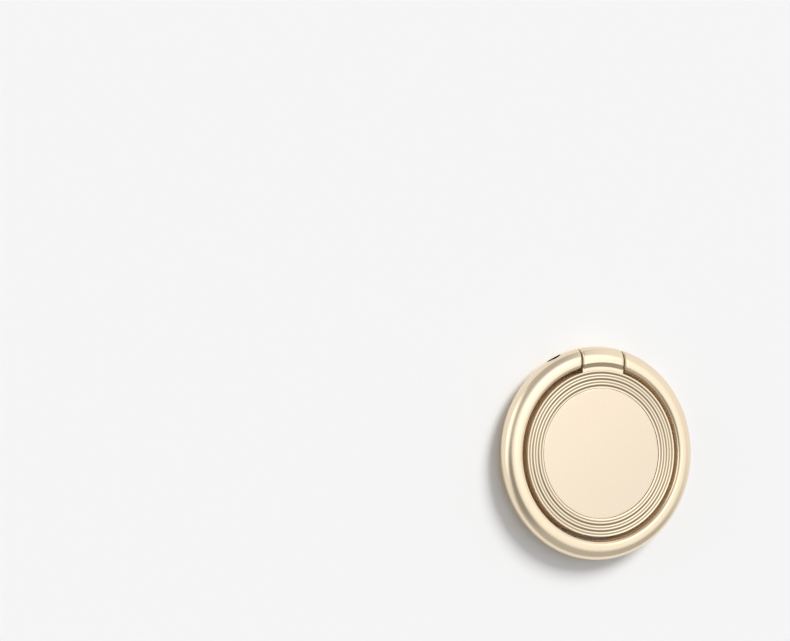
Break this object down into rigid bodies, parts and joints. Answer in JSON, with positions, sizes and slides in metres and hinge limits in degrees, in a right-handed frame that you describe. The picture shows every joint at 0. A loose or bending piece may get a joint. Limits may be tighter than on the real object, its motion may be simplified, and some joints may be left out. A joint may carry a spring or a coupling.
{
  "type": "phone ring holder",
  "caption": "Round metal phone ring holder, folded flat: a ridged disc swivels on a stick-on base and carries a hinged half-round ring that opens for a finger or as a stand.",
  "frame": {"origin": "centre of the adhesive face, on the surface that the holder lies on", "axes": "+Z out of the ridged face along the swivel axis, +Y from the centre towards the ring's hinge, +X along the hinge pin"},
  "size_m": [0.038, 0.038, 0.0045],
  "materials": {
    "ring_gold": "satin champagne plating",
    "disc_gold": "turned and plated, satin champagne",
    "face_gold": "fine blasted and anodised champagne",
    "base_steel": "bright nickel",
    "hinge_steel": "ground",
    "spring_steel": "oiled",
    "black_nylon": "moulded",
    "pale_nylon": "moulded",
    "adhesive": "tacky, matt"
  },
  "bodies": {
    "base": {"adhesive_pad": "adhesive", "base_plate": "base_steel", "swivel_stud": "base_steel", "keeper_washer": "base_steel"},
    "disc": {"disc_body": "disc_gold", "face_plate": "face_gold", "friction_washer": "pale_nylon", "disc_spring": "spring_steel", "hinge_bush_right": "black_nylon", "hinge_bush_left": "black_nylon"},
    "ring": {"finger_ring": "ring_gold", "hinge_pin": "hinge_steel"}
  },
  "joints": [
    {"name": "disc_swivel", "type": "hinge", "parent": "base", "child": "disc", "pos_m": [0, 0, 0], "axis": [0, 0, 1], "continuous": true},
    {"name": "ring_hinge", "type": "hinge", "parent": "disc", "child": "ring", "pos_m": [0, 0.01665, 0.00241], "axis": [-1, 0, 0], "range_deg": [0, 180]}
  ]
}
